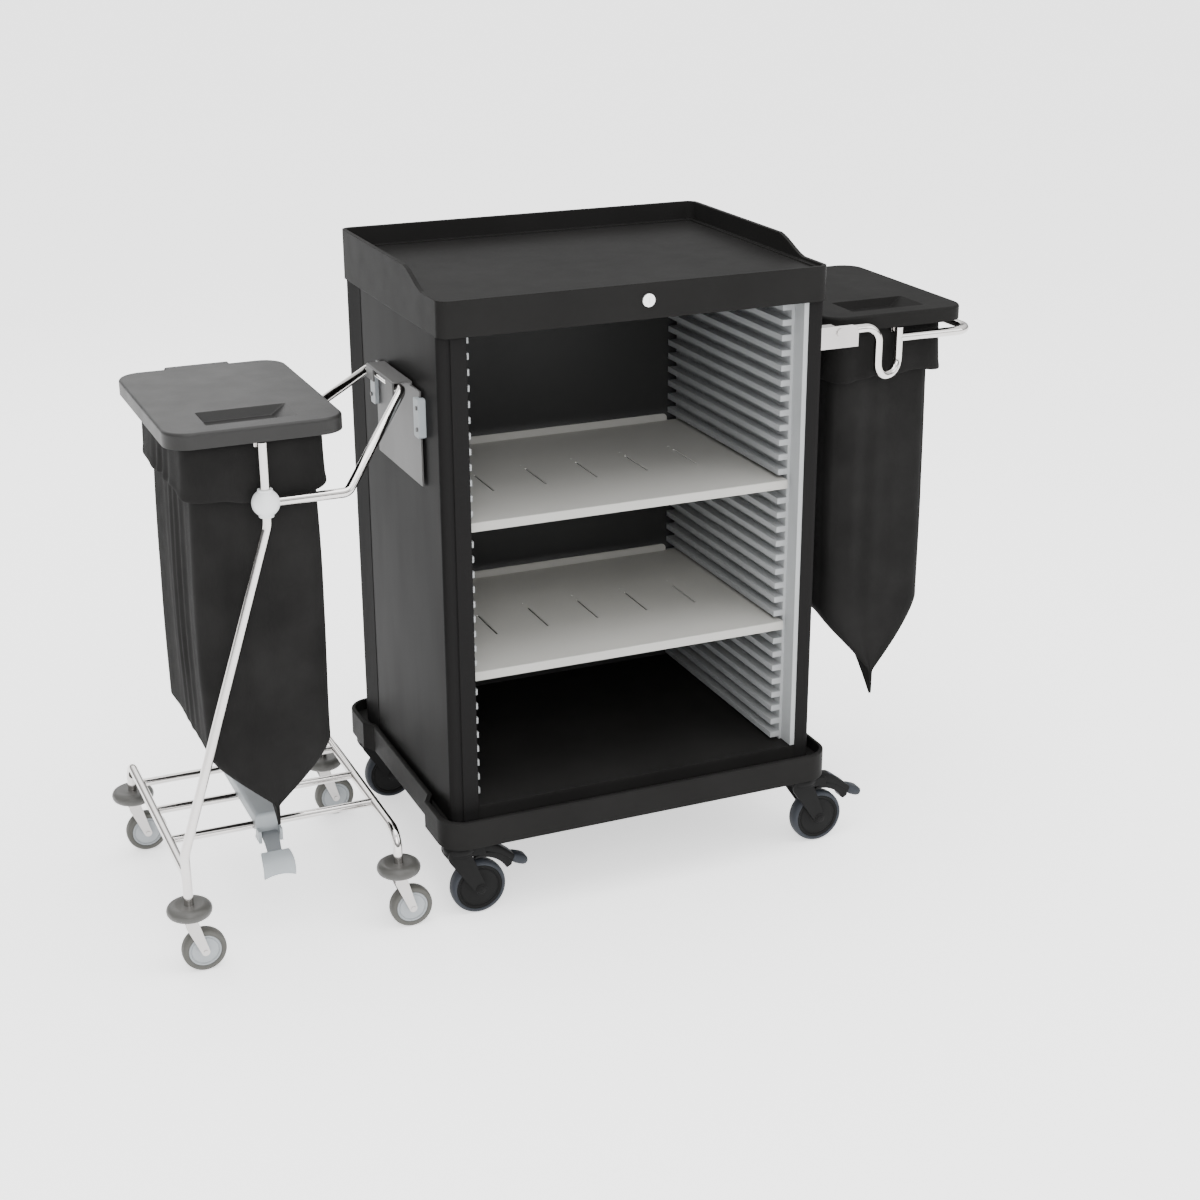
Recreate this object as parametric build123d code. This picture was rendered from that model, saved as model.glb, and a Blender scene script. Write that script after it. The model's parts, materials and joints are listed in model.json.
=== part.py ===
from build123d import *
import math
import os

# Housekeeping cart: shelf cabinet on four casters, a bag trolley hooked to its left
# wall and a folding bag holder on its right wall. Millimetres, Z up, front faces -Y.
# The floor is z = 0 and the cabinet is centred on x = y = 0 before the last shift.

# ---- driving dimensions: cabinet ----
cabinet_w = 698.0
cabinet_d = 510.0
base_over_x = 27.0
base_over_y = 39.0
base_h = 51.0
base_floor_drop = 21.0
deck_h = 30.0
bay_h = 859.0
tray_over_x = 1.0
tray_over_y = 10.5
tray_lip_h = 60.0
tray_rim_h = 88.0
tray_deck = 24.0
lock_x = 10.6
rim_t = 7.0
sheet_t = 3.0
wall_t = 4.0
front_post_w = 31.0
front_post_d = 16.0
rear_post_d = 94.0
post_wall = 3.0
panel_inset = 0.6
jamb_w = 15.5
jamb_lap = 12.0

# ---- driving dimensions: liners and shelves ----
tooth_pitch = 26.75
tooth_h = 10.6
tooth_out = 18.0
liner_t = 3.0
liner_off_post = 14.0
liner_front = 34.5
liner_rear = 19.5
first_tooth = 41.0
shelf_side_gap = 4.5
shelf_short = 19.0
shelf_t = 2.0
shelf_lip = 16.0
shelf_upstand = 14.0
shelf_side_h = 9.0
shelf_proud = 10.5
upper_slot = 18
lower_slot = 8
vent_count = 5
vent_pitch = 98.0
vent_l = 101.0
vent_w = 4.0

# ---- driving dimensions: cabinet casters ----
wheel_d = 100.0
wheel_w = 28.0
caster_head_h = 45.0
caster_in_x = 11.0
caster_in_y = 6.0
caster_trail = 32.0
head_r = 28.0
stem_r = 6.0
axle_r = 5.0
lever_reach = 122.0
lever_w = 30.0

# ---- driving dimensions: tubes, lids and bags ----
tube_r = 8.0
tube_wall = 1.5
bar_r = 7.0
ring_r = 5.0
lid_w = 286.0
lid_d = 412.0
lid_h = 26.0
lid_t = 3.0
lid_corner = 42.0
lid_round = 5.0
tab_w = 111.0
tab_out = 15.0
pin_r = 3.0
bag_in_x = 37.0
bag_in_y = 34.0
bag_t = 2.5
bag_seam = 14.0
bag_rear_drop = 18.0

# ---- driving dimensions: trolley ----
trolley_out = 281.0
trolley_y = -15.0
wheelbase_x = 363.0
wheelbase_y = 467.0
left_lid_over_hooks = 2.0
left_lid_out = 14.0
left_lid_y = -50.0
left_bag_over_rails = 41.7
left_bag_foot = 138.0
rail_over_bumper = 65.0
trolley_wheel_d = 75.0
trolley_wheel_w = 24.0
trolley_trail = 19.0
bumper_r = 38.0
bumper_h = 22.0
ball_r = 22.5
ball_core = 12.0
ball_drop = 127.0

# ---- driving dimensions: hitch and right holder ----
hook_drop = 25.0
hook_len = 144.0
hook_below_tray = 110.0
hitch_half = 117.0
right_lid_out = 184.5
right_lid_y = 8.0
right_lid_over_pivot = 18.0
right_bag_h = 713.0
right_bag_foot = 185.0
pivot_out = 50.0
pivot_below_tray = 69.0
leg_out = 134.0
rear_leg_in = 17.0
holder_past_lid = 4.5
loop_past_lid = 15.5
loop_drop = 47.0

# ---- fits ----
run_gap = 0.05
rest_gap = 0.3
slide_gap = 0.2

# ---- derived: cabinet ----
floor_to_base = wheel_d + caster_head_h
base_top = floor_to_base + base_h
bay_floor = base_top - base_floor_drop
deck_top = bay_floor + deck_h
tray_bottom = bay_floor + bay_h
tray_floor = tray_bottom + tray_lip_h - 8.0
tray_top = tray_bottom + tray_rim_h
tray_pocket = tray_lip_h - tray_deck
base_w = cabinet_w + 2 * base_over_x
base_d = cabinet_d + 2 * base_over_y
tray_w = cabinet_w + 2 * tray_over_x
tray_d = cabinet_d + 2 * tray_over_y
side_x = cabinet_w / 2
front_y = -cabinet_d / 2
panel_x = side_x - panel_inset
tongue_x = panel_x - sheet_t
liner_span = cabinet_w - 2 * (front_post_w + liner_off_post)
liner_depth = cabinet_d - liner_front - liner_rear
liner_y = front_y + liner_front
first_tooth_z = bay_floor + first_tooth
tooth_count = int((bay_h - first_tooth - tooth_h / 2) / tooth_pitch) + 1
shelf_w = liner_span - 2 * shelf_side_gap
shelf_d = liner_depth - shelf_short
caster_x = side_x - caster_in_x
caster_y = cabinet_d / 2 - caster_in_y

# ---- derived: lids, rings and bags ----
bag_w = lid_w - 2 * bag_in_x
bag_d = lid_d - 2 * bag_in_y
upright_dy = lid_d / 2 - tube_r
ring_drop = lid_h + 2.0 + ring_r
ring_dx = bag_w / 2
ring_dy = bag_d / 2
bag_mouth_drop = ring_drop + ring_r + rest_gap
pin_dy = lid_d / 2 + tab_out / 2
pin_drop = lid_h - 8.0

# ---- derived: trolley and hitch ----
bumper_z = trolley_wheel_d + 40.0
rail_z = bumper_z + rail_over_bumper
hook_z = tray_bottom - hook_below_tray
lid_top = hook_z + left_lid_over_hooks
ball_z = lid_top - ball_drop
trolley_x = -side_x - trolley_out
left_lid_x = trolley_x - left_lid_out
upright_x = left_lid_x + 5.0
left_bag_h = lid_top - bag_mouth_drop - rail_z - left_bag_over_rails

# ---- derived: right holder ----
right_lid_x = side_x + right_lid_out
holder_pivot_x = side_x + pivot_out
holder_pivot_z = tray_bottom - pivot_below_tray
holder_leg_x = side_x + leg_out
holder_x = right_lid_x + holder_past_lid
loop_x = right_lid_x + lid_w / 2 + loop_past_lid
right_lid_top = holder_pivot_z + right_lid_over_pivot


def box(x0, x1, y0, y1, z0, z1):
    centre = ((x0 + x1) / 2, (y0 + y1) / 2, (z0 + z1) / 2)
    return Pos(*centre) * Box(abs(x1 - x0), abs(y1 - y0), abs(z1 - z0))


def rod_x(x, y, z, radius, length):
    return Pos(x, y, z) * Rot(0, 90, 0) * Cylinder(radius, length)


def rod_y(x, y, z, radius, length):
    return Pos(x, y, z) * Rot(90, 0, 0) * Cylinder(radius, length)


def rod_z(x, y, z, radius, length):
    return Pos(x, y, z) * Cylinder(radius, length)


def bent_tube(points, bend):
    """A hollow tube along a bent centre line."""
    path = FilletPolyline(*points, radius=bend)
    start = Plane(path @ 0, z_dir=path % 0)
    ring = start * (Circle(tube_r) - Circle(tube_r - tube_wall))
    return sweep(ring, path=path)


def rounded_block(w, d, h, corner):
    return extrude(RectangleRounded(w, d, corner), amount=h)


# ---- cabinet body ----

def base_outline(inset):
    """Base plan: straight front and back, long sides pulled in between the corners."""
    waist = 14.0
    run = 70.0
    plan = RectangleRounded(base_w - 2 * inset, base_d - 2 * inset, 46.0 - inset)
    middle = base_d - 4 * run + 2 * inset
    for side in (-1, 1):
        edge = side * (base_w / 2 - inset)
        cut = Polyline(
            (edge + side, -middle / 2 - 28), (edge - side * waist, -middle / 2),
            (edge - side * waist, middle / 2), (edge + side, middle / 2 + 28), close=True)
        plan -= make_face(cut)
    return plan


def deck(inset, z0, z1):
    """Block of the raised floor between the posts, drawn in on all four sides."""
    half = side_x - front_post_w - rest_gap - inset
    y0 = front_y + rest_gap + inset
    y1 = back_panel_y() - rest_gap - inset
    return box(-half, half, y0, y1, z0, z1)


def base_tray():
    """Rimmed tray with a raised floor, hollow below, caster sockets and two ribs."""
    body = Pos(0, 0, floor_to_base) * extrude(base_outline(0.0), amount=base_h)
    body = fillet(body.faces().sort_by(Axis.Z)[-1].edges(), 3.0)
    pocket = extrude(base_outline(rim_t), amount=base_h)
    body -= Pos(0, 0, bay_floor) * pocket
    under = bay_floor - sheet_t * 2 - floor_to_base
    body -= Pos(0, 0, floor_to_base) * extrude(base_outline(rim_t), amount=under)
    body += deck(0.0, bay_floor - sheet_t, deck_top)
    body -= deck(wall_t, floor_to_base, deck_top - wall_t)
    for sx in (-1, 1):
        for sy in (-1, 1):
            boss = rod_z(sx * caster_x, sy * caster_y, floor_to_base + under / 2, head_r - 4, under)
            bore = rod_z(sx * caster_x, sy * caster_y, floor_to_base + under / 2 - 1,
                         stem_r + run_gap, under)
            body += boss
            body -= bore
    rib_x = side_x - front_post_w - 2
    for sy in (-1, 1):
        body += box(-rib_x, rib_x, sy * 90 - 2, sy * 90 + 2, floor_to_base + 1, deck_top - 2)
    return body


def post(side, front):
    """Hollow corner post with a thinner tongue behind the side panel's edge."""
    depth = front_post_d if front else rear_post_d
    reach = liner_front if front else depth + 20.0
    outer_y = front_y if front else -front_y
    inward = 1 if front else -1
    inner_x = side_x - front_post_w
    plan_x = side * (side_x + inner_x) / 2
    plan = Pos(plan_x, outer_y + inward * depth / 2) * Rectangle(front_post_w, depth)
    corner = plan.vertices().sort_by_distance((side * side_x, outer_y))[0]
    plan = fillet(corner, 13.0 if front else 18.0)
    y0 = outer_y + inward * (depth - 0.5)
    y1 = outer_y + inward * reach
    tongue = Pos(side * (tongue_x + inner_x) / 2, (y0 + y1) / 2) * Rectangle(
        tongue_x - inner_x, abs(y1 - y0))
    body = extrude(plan + tongue, amount=tray_bottom - bay_floor)
    hollow_w = tongue_x - inner_x - 2 * post_wall
    h0 = outer_y + inward * post_wall
    h1 = outer_y + inward * (reach - post_wall)
    if front:
        h0 += 7.0
    else:
        h0 -= 9.0
    hollow = Pos(side * (tongue_x + inner_x) / 2, (h0 + h1) / 2) * Rectangle(hollow_w, abs(h1 - h0))
    body -= extrude(hollow, amount=tray_bottom - bay_floor)
    return Pos(0, 0, bay_floor) * body


def side_panel(side):
    y0 = front_y + front_post_d
    y1 = -front_y - rear_post_d
    return box(side * tongue_x, side * panel_x, y0, y1, bay_floor, tray_bottom)


def back_panel_y():
    return -front_y - 15.0


def back_panel():
    half = side_x - front_post_w
    y = back_panel_y()
    return box(-half, half, y, y + sheet_t, bay_floor, tray_bottom)


def liner(side):
    """Ribbed wall liner: back web, shelf teeth, and a front return beside the post."""
    web = liner_span / 2
    tip = web - tooth_out
    back = liner_y + liner_depth
    z0 = deck_top + rest_gap
    z1 = tray_bottom - rest_gap
    return_x = side_x - front_post_w
    body = box(side * web, side * (web + liner_t), liner_y, back, z0, z1)
    body += box(side * web, side * (web + 8), liner_y, liner_y + liner_t, z0, z1)
    body += box(side * (web + 5), side * (web + 8), front_y + 3, liner_y + liner_t, z0, z1)
    body += box(side * (web + 5), side * return_x, front_y + 1, front_y + 3.5, z0, z1)
    for i in range(tooth_count):
        z = first_tooth_z + i * tooth_pitch
        body += box(side * tip, side * (web + 1), liner_y, back, z - tooth_h / 2, z + tooth_h / 2)
    return body


def jamb():
    """Black strip on the left front post, over the liner's return."""
    inner = front_post_w - side_x
    return box(inner - jamb_lap, inner + jamb_w, front_y - sheet_t, front_y,
               bay_floor + rest_gap, tray_bottom - rest_gap)


def tray_profile():
    """Side view of the rim: high at the back, an S curve, low to the front."""
    front = -tray_d / 2
    pts = [
        (front - 1, tray_bottom + tray_lip_h), (front + 87.5, tray_bottom + tray_lip_h),
        (front + 173.5, tray_top), (tray_d / 2 + 1, tray_top)]
    curve = Spline(pts[1], pts[2], tangents=((1, 0.18), (1, 0.18)))
    top = tray_top + 20
    outline = Polyline(pts[2], pts[3], (pts[3][0], top), (pts[0][0], top), pts[0], pts[1])
    return make_face(outline + curve)


def top_tray():
    full = Pos(0, 0, tray_bottom) * rounded_block(tray_w, tray_d, tray_rim_h, 19.0)
    inner = rounded_block(tray_w - 2 * rim_t, tray_d - 2 * rim_t, tray_rim_h, 13.0)
    body = full - Pos(0, 0, tray_floor + 3) * inner
    well = rounded_block(tray_w - 2 * rim_t - 14, tray_d - 2 * rim_t - 14, tray_rim_h, 8.0)
    body -= Pos(0, 0, tray_floor) * well
    above = extrude(Plane.YZ * tray_profile(), amount=tray_w, both=True)
    body -= above
    under = rounded_block(tray_w - 2 * wall_t, tray_d - 2 * wall_t, tray_pocket, 15.0)
    body -= Pos(0, 0, tray_bottom + wall_t) * under
    mouth = rounded_block(tray_w - 130, tray_d - 130, wall_t, 12.0)
    body -= Pos(0, 0, tray_bottom) * mouth
    body -= rod_y(lock_x, -tray_d / 2, lock_z(), 8 + run_gap, 30)
    return body


def lock_z():
    return tray_bottom + 32.0


def lock_barrel():
    """Turning lock: outside cap, barrel through the skirt, and a cam behind it."""
    face = -tray_d / 2
    body = rod_y(lock_x, face - 2.2, lock_z(), 11, 4)
    body += rod_y(lock_x, face + 9, lock_z(), 8, 19)
    body += box(lock_x - 5, lock_x + 5, face + 14, face + 18, lock_z() - 20, lock_z())
    body -= box(lock_x - 0.7, lock_x + 0.7, face - 4.3, face - 2.7, lock_z() - 5, lock_z() + 5)
    return body


# ---- shelves ----

def shelf(slot):
    """Folded sheet shelf: front lip, sides folded down, back upstand and five long vents."""
    seat = first_tooth_z + slot * tooth_pitch + tooth_h / 2 + slide_gap
    top = seat + shelf_side_h
    sheet = top - shelf_t
    y0 = liner_y - shelf_proud
    y1 = y0 + shelf_d
    half = shelf_w / 2
    body = box(-half, half, y0, y1, sheet, top)
    for s in (-1, 1):
        body += box(s * (half - shelf_t), s * half, y0, y1, seat, top)
    body += box(-half, half, y0, y0 + shelf_t, top - shelf_lip, top)
    stand = Pos(0, y1 - shelf_t / 2, top + shelf_upstand / 2 - 1) * Box(
        shelf_w - 60, shelf_t, shelf_upstand + 2)
    upper = stand.edges().filter_by(Axis.Y).group_by(Axis.Z)[-1]
    body += fillet(upper, 9.0)
    front_edge = body.edges().filter_by(Axis.X).sort_by_distance((0, y0, top))[0]
    body = fillet(front_edge, 1.6)
    mid = y0 + shelf_d * 0.46
    for i in range(vent_count):
        x = (i - (vent_count - 1) / 2) * vent_pitch
        slot_face = SlotOverall(vent_l, vent_w, rotation=90)
        body -= Pos(x, mid, sheet - 1) * extrude(slot_face, amount=shelf_t + 2)
        hole_y = mid + (vent_l / 2 + 22)
        body -= rod_z(x, hole_y, sheet, 2.0, 8)
    return body


# ---- cabinet casters ----

def caster_fork(cx, cy, braked):
    """Swivel head with its stem and two raked arms, holding the axle."""
    axle_z = wheel_d / 2
    ax = cx + caster_trail
    top = floor_to_base - 1.0
    body = rod_z(cx, cy, top - 11, head_r, 22)
    ring = body.edges().filter_by(GeomType.CIRCLE).sort_by(Axis.Z)[-1]
    body = fillet(ring, 3.0)
    body += rod_z(cx, cy, top + 8, stem_r, 18)
    inner = wheel_w / 2 + 1.5
    arm_t = 5.0
    for s in (-1, 1):
        arm_y = cy + s * (inner + arm_t / 2)
        hull = tangent_outline(cx - 6, top - 22, 20, ax, axle_z, 11)
        plate = Plane((0, arm_y, 0), x_dir=(1, 0, 0), z_dir=(0, -1, 0)) * hull
        body += extrude(plate, amount=arm_t / 2, both=True)
    body -= rod_y(ax, cy, axle_z, wheel_d / 2 + 3, 2 * inner)
    body += rod_y(ax, cy, axle_z, axle_r, 2 * (inner + arm_t) + 3)
    if braked:
        pin_x = cx + head_r + 9
        gap = lever_w / 2 + rest_gap
        body -= box(cx + head_r - 9, pin_x + 9, cy - gap, cy + gap, lever_z() - 9, lever_z() + 9)
        for s in (-1, 1):
            y0 = cy + s * gap
            body += box(cx + 12, pin_x + 6, y0, y0 + s * 4, lever_z() - 8, lever_z() + 8)
        body += rod_y(pin_x, cy, lever_z(), pin_r, 2 * gap + 8)
    return body


def tangent_outline(x1, z1, r1, x2, z2, r2):
    """Face around two circles joined by their outer tangents."""
    dist = math.hypot(x2 - x1, z2 - z1)
    base = math.atan2(z2 - z1, x2 - x1)
    tilt = math.acos((r1 - r2) / dist)

    def on(x, z, r, angle):
        return (x + r * math.cos(angle), z + r * math.sin(angle))

    a = on(x1, z1, r1, base + tilt)
    b = on(x2, z2, r2, base + tilt)
    c = on(x2, z2, r2, base - tilt)
    d = on(x1, z1, r1, base - tilt)
    far = ThreePointArc(b, on(x2, z2, r2, base), c)
    near = ThreePointArc(d, on(x1, z1, r1, base + math.pi), a)
    return make_face([Line(a, b), far, Line(c, d), near])


def wheel(cx, cy, diameter, width, bore, trail):
    """Rounded tread on a dished hub, bored for the axle."""
    r = diameter / 2
    x = cx + trail
    body = rod_y(x, cy, r, r, width)
    rims = body.edges().filter_by(GeomType.CIRCLE)
    body = fillet(rims, width * 0.22)
    for s in (-1, 1):
        dish = rod_y(x, cy + s * width / 2, r, r * 0.76, width * 0.16)
        keep = rod_y(x, cy + s * width / 2, r, r * 0.30, width * 0.2)
        body -= dish - keep
    body -= rod_y(x, cy, r, bore, width + 4)
    return body


def lever_z():
    return floor_to_base - 20.0


def brake_lever(cx, cy):
    """Arched foot lever over the wheel, hung on a cross pin in the swivel head."""
    x0 = cx + head_r + 2
    z0 = lever_z()
    tip = cx + lever_reach
    outline = Polyline(
        (x0, z0 + 7), (x0 + 22, z0 + 6), (x0 + 46, z0 - 4), (tip - 30, z0 - 22),
        (tip - 4, z0 - 28), (tip, z0 - 34), (tip, z0 - 46), (tip - 5, z0 - 50),
        (tip - 22, z0 - 46), (tip - 34, z0 - 38), (x0 + 38, z0 - 14), (x0 + 22, z0 - 6),
        (x0, z0 - 7), close=True)
    face = Plane((0, cy, 0), x_dir=(1, 0, 0), z_dir=(0, -1, 0)) * make_face(outline)
    body = extrude(face, amount=lever_w / 2, both=True)
    body -= rod_y(cx + head_r + 9, cy, z0, pin_r + run_gap, lever_w + 4)
    return body


# ---- lid, ring and bag, each about its lid centre with the lid's top at z = 0 ----

def lid():
    """Shallow lid with a skirt, a hand recess and a hinge tab at the back."""
    outer = Pos(0, 0, -lid_h) * rounded_block(lid_w, lid_d, lid_h, lid_corner)
    tab_y = lid_d / 2 + tab_out / 2 - 6
    outer += Pos(0, tab_y, -lid_h / 2) * Box(tab_w, tab_out + 12, lid_h)
    outer = fillet(outer.faces().sort_by(Axis.Z)[-1].edges(), lid_round)
    inner = Pos(0, 0, -lid_h) * rounded_block(
        lid_w - 2 * lid_t, lid_d - 2 * lid_t, lid_h - lid_t, lid_corner - lid_t)
    inner_tab = Pos(0, tab_y, -lid_h / 2 - lid_t) * Box(tab_w - 10, tab_out + 20, lid_h)
    body = outer - inner - inner_tab
    recess_w = 147.0
    recess_d = 79.0
    ry = -lid_d / 2 + 37.0 + recess_d / 2
    body += Pos(0, ry, -18) * rounded_block(recess_w + 6, recess_d + 6, 16, 6.0)
    body -= loft([
        Pos(0, ry, 0.0) * RectangleRounded(recess_w, recess_d, 3.0),
        Pos(-8, ry + 3, -15) * RectangleRounded(recess_w - 34, recess_d - 18, 3.0)])
    for sx in (-1, 1):
        for sy in (-1, 1):
            body += box(sx * ring_dx - 4, sx * ring_dx + 4, sy * 100 - 12, sy * 100 + 12,
                        ring_r - ring_drop + rest_gap, -lid_t + 0.5)
    body -= rod_x(0, pin_dy, -pin_drop, pin_r + run_gap, tab_w + 4)
    return body


def ring():
    """Bag ring: rod frame, blocks to the two uprights, and the lid's hinge pin."""
    z = -ring_drop
    path = Pos(0, 0, z) * RectangleRounded(2 * ring_dx, 2 * ring_dy, 24.0).face().outer_wire()
    start = Plane(path @ 0, z_dir=path % 0)
    body = sweep(start * Circle(ring_r), path=path)
    tube_face = upright_dy - tube_r
    body += box(-6, 6, -tube_face, -ring_dy, z - 4, z + 4)
    body += box(-6, 6, ring_dy, tube_face, z - 4, z + 4)
    for s in (-1, 1):
        body += box(s * 20, s * 26, ring_dy, pin_dy + 5, z - 4, z + 4)
        body += box(s * 20, s * 26, pin_dy - 5, pin_dy + 5, z - 4, -pin_drop + 4)
    body += rod_x(0, pin_dy, -pin_drop, pin_r, tab_w - 2)
    return body


def bag_form(height, foot, inset):
    """Bag outline: straight sides drawn in to a foot that rises from front to back."""
    top = -bag_mouth_drop
    shoulder = top - height + foot
    front_foot = top - height + 2 * inset
    rear_foot = shoulder - bag_rear_drop + 2 * inset
    bend_foot = (front_foot + rear_foot) / 2
    half = bag_w / 2 - inset
    seam = bag_seam - inset
    depth = bag_d / 2 - inset
    mouth = top + inset
    across = Polyline(
        (-half, mouth), (-half, shoulder), (-seam, front_foot), (seam, front_foot),
        (half, shoulder), (half, mouth), close=True)
    body = extrude(Plane.XZ * make_face(across), amount=depth, both=True)
    low = front_foot - 10
    below = Polyline(
        (-depth - 1, low), (-depth - 1, front_foot), (-depth / 2, bend_foot),
        (depth + 1, rear_foot), (depth + 1, low), close=True)
    return body - extrude(Plane.YZ * make_face(below), amount=half + 1, both=True)


def bag(height, foot):
    """Open-topped bag with a thin wall all round."""
    return bag_form(height, foot, 0.0) - bag_form(height, foot, bag_t)


# ---- trolley ----

def corner_x(s):
    return trolley_x + s * wheelbase_x / 2


def corner_y(s):
    return trolley_y + s * wheelbase_y / 2


def upright(front):
    """Bent tube from one bumper up to the bag ring."""
    s = -1 if front else 1
    top_y = left_lid_y + s * upright_dy
    top_z = lid_top - ring_drop + ring_r
    pts = [
        (corner_x(s), corner_y(s), bumper_z), (corner_x(s), corner_y(s), rail_z + 35),
        (upright_x, top_y, ball_z - 37), (upright_x, top_y, top_z)]
    return bent_tube(pts, 45)


def rail(side):
    """Side rail: bends down into one bumper and butts the upright at the other end."""
    x = corner_x(side)
    y0 = corner_y(-side)
    y1 = corner_y(side) - side * tube_r * 0.5
    pts = [(x, y0, bumper_z), (x, y0, rail_z), (x, y1, rail_z)]
    return bent_tube(pts, 34) - rod_z(x, corner_y(side), rail_z, tube_r, 60)


def bar_y(index):
    return trolley_y + 18.0 + index * 120.0


def cross_bars():
    """Three identical bars welded between the side rails."""
    bars = []
    for index in (-1, 0, 1):
        y = bar_y(index)
        bar = rod_x(trolley_x, y, rail_z, bar_r, wheelbase_x)
        for s in (-1, 1):
            bar -= rod_y(corner_x(s), y, rail_z, tube_r, 40)
        bars.append(bar)
    return Compound(children=bars)


def ball(front):
    """Plastic knuckle ball round the upright, with a socket for the coupler's end."""
    s = -1 if front else 1
    y = left_lid_y + s * upright_dy
    body = Pos(upright_x, y, ball_z) * Sphere(ball_r)
    body += rod_z(upright_x, y, ball_z, ball_core, 2 * ball_r)
    body -= rod_z(upright_x, y, ball_z, tube_r, 60)
    body -= rod_x(upright_x + ball_r, y, ball_z, tube_r, 2 * (ball_r - ball_core))
    return body


def hook_x():
    return -side_x - hook_drop


def coupler():
    """One bent tube: cross part in the wall hooks, an arm down to each ball."""
    pts = []
    for s in (-1, 1):
        y_ball = left_lid_y + s * upright_dy
        y_hook = left_lid_y + s * (hook_len / 2 + 14)
        arm = [
            (upright_x + ball_core, y_ball, ball_z), (upright_x + 134, y_ball, ball_z),
            (hook_x(), y_hook, hook_z)]
        pts += arm if s < 0 else arm[::-1]
    return bent_tube(pts, 20)


def bumpers():
    """Four soft bumper discs, one round each corner tube's foot."""
    discs = []
    for sx in (-1, 1):
        for sy in (-1, 1):
            x = corner_x(sx)
            y = corner_y(sy)
            disc = rod_z(x, y, bumper_z, bumper_r, bumper_h)
            disc = fillet(disc.edges().filter_by(GeomType.CIRCLE), 9.0)
            disc -= rod_z(x, y, bumper_z + bumper_h, tube_r, 2 * bumper_h)
            disc -= rod_z(x, y, bumper_z - bumper_h, stem_r - 2 + run_gap, 2 * bumper_h + 12)
            discs.append(disc)
    return Compound(children=discs)


def trolley_fork(cx, cy):
    """Pressed fork: crown with a stem, two flat raked arms, and the axle."""
    axle_z = trolley_wheel_d / 2
    ax = cx + trolley_trail
    crown = bumper_z - bumper_h / 2 - 1.0
    inner = trolley_wheel_w / 2 + 1.5
    arm_t = 2.5
    body = rod_z(cx, cy, crown - 3, 15, 6)
    body += rod_z(cx, cy, crown + 4, stem_r - 2, 12)
    body += box(cx - 12, cx + 12, cy - inner - arm_t, cy + inner + arm_t, crown - 6, crown - 3)
    for s in (-1, 1):
        arm_y = cy + s * (inner + arm_t / 2)
        hull = tangent_outline(cx, crown - 11, 11, ax, axle_z, 7)
        plate = Plane((0, arm_y, 0), x_dir=(1, 0, 0), z_dir=(0, -1, 0)) * hull
        body += extrude(plate, amount=arm_t / 2, both=True)
    body += rod_y(ax, cy, axle_z, axle_r - 1, 2 * (inner + arm_t) + 3)
    return body


def pedal_housing():
    """Long plastic saddle over the cross bars, with ears that hold the pedal."""
    y0 = bar_y(-1) - 14
    y1 = bar_y(1) + 12
    half = 21.0
    x = upright_x - 4
    body = box(x - half, x + half, y0, y1, rail_z, rail_z + bar_r + 17)
    top_edges = body.faces().sort_by(Axis.Z)[-1].edges()
    body = fillet(top_edges, 7.0)
    body += box(x - half, x + half, y0, y0 + 28, rail_z - 13, rail_z + 2)
    body += box(x - half, x - half + 5, y0 - 16, y0 + 12, rail_z - 24, rail_z - 2)
    body += box(x + half - 5, x + half, y0 - 16, y0 + 12, rail_z - 24, rail_z - 2)
    for i in (-1, 0, 1):
        body -= rod_x(x, bar_y(i), rail_z, bar_r + run_gap, 3 * half)
    body -= box(x - half - 1, x + half + 1, bar_y(-1) - bar_r - run_gap,
                bar_y(-1) + bar_r + run_gap, rail_z - 20, rail_z)
    body += rod_x(x, pedal_y(), pedal_z(), pin_r, 2 * half)
    return body


def pedal_y():
    return bar_y(-1) - 22


def pedal_z():
    return rail_z - 13


def pedal():
    """Foot pedal: short arm down from the pin to a broad curved pad."""
    x = upright_x - 4
    y = pedal_y()
    z = pedal_z()
    half = 15.6
    side_view = Polyline(
        (y + 6, z + 3), (y + 1, z + 6), (y - 6, z + 4), (y - 34, z - 24), (y - 52, z - 30),
        (y - 62, z - 46), (y - 58, z - 62), (y - 54, z - 62), (y - 54, z - 48),
        (y - 46, z - 38), (y - 30, z - 32), (y, z - 6), (y + 5, z - 4), close=True)
    profile = Plane.YZ * make_face(side_view)
    body = Pos(x, 0, 0) * extrude(profile, amount=half, both=True)
    pad = Polyline(
        (y - 30, z - 22), (y - 52, z - 28), (y - 64, z - 45), (y - 60, z - 64),
        (y - 55, z - 64), (y - 54, z - 47), (y - 46, z - 38), (y - 30, z - 32), close=True)
    body += Pos(x, 0, 0) * extrude(Plane.YZ * make_face(pad), amount=28, both=True)
    body -= rod_x(x, y, z, pin_r + run_gap, 3 * half)
    return body


# ---- hitch on the left wall ----

def hitch_plate():
    """Wall plate folded over at the top into two hooks that hold the coupler."""
    x = -side_x - 2
    top = hook_z + tube_r + rest_gap + sheet_t
    outer_x = hook_x() - tube_r - 0.5 - sheet_t
    y = left_lid_y
    half = hook_len / 2
    body = box(x - sheet_t, x, y - hitch_half, y + hitch_half, top - 170, top - 8)
    body += box(x - sheet_t, x, y - half, y + half, top - 12, top)
    body += box(outer_x, x, y - half, y + half, top - sheet_t, top)
    for s in (-1, 1):
        y_in = y + s * (half - 38)
        body += box(outer_x, outer_x + sheet_t, y_in, y + s * half, top - 24, top)
    bend = body.edges().filter_by(Axis.Y).sort_by_distance((outer_x, y + half, top))[:1]
    bend += body.edges().filter_by(Axis.Y).sort_by_distance((x, y, top))[:1]
    return fillet(bend, 2.8)


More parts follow.
